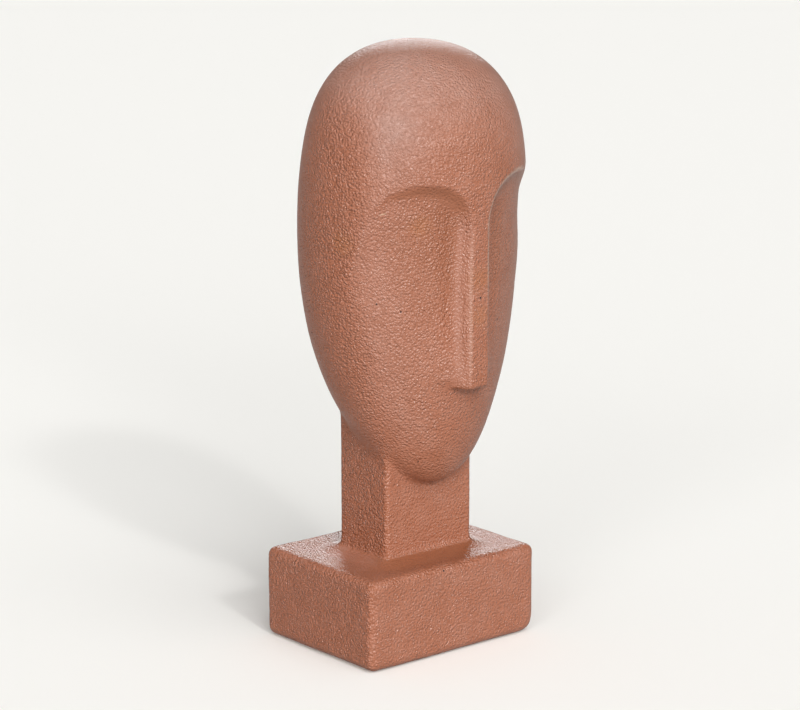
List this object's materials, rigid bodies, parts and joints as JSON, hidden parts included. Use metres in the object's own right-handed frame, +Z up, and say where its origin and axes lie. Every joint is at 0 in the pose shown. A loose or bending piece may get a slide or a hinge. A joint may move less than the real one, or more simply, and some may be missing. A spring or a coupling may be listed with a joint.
{
  "type": "terracotta face sculpture",
  "caption": "Abstract egg-shaped head with arched brows and a straight bar nose, on a square neck and a low block plinth, cast in one piece to stand on a shelf or table.",
  "frame": {"origin": "centre of the plinth's flat underside", "axes": "+Z up through the neck and head, -Y the way the face looks, +X to the right seen from the front"},
  "size_m": [0.1156, 0.1042, 0.3],
  "materials": {
    "terracotta": "satin reddish-brown earthenware with a fine orange-peel grain"
  },
  "bodies": {
    "root": {"face_sculpture": "terracotta"}
  },
  "joints": []
}
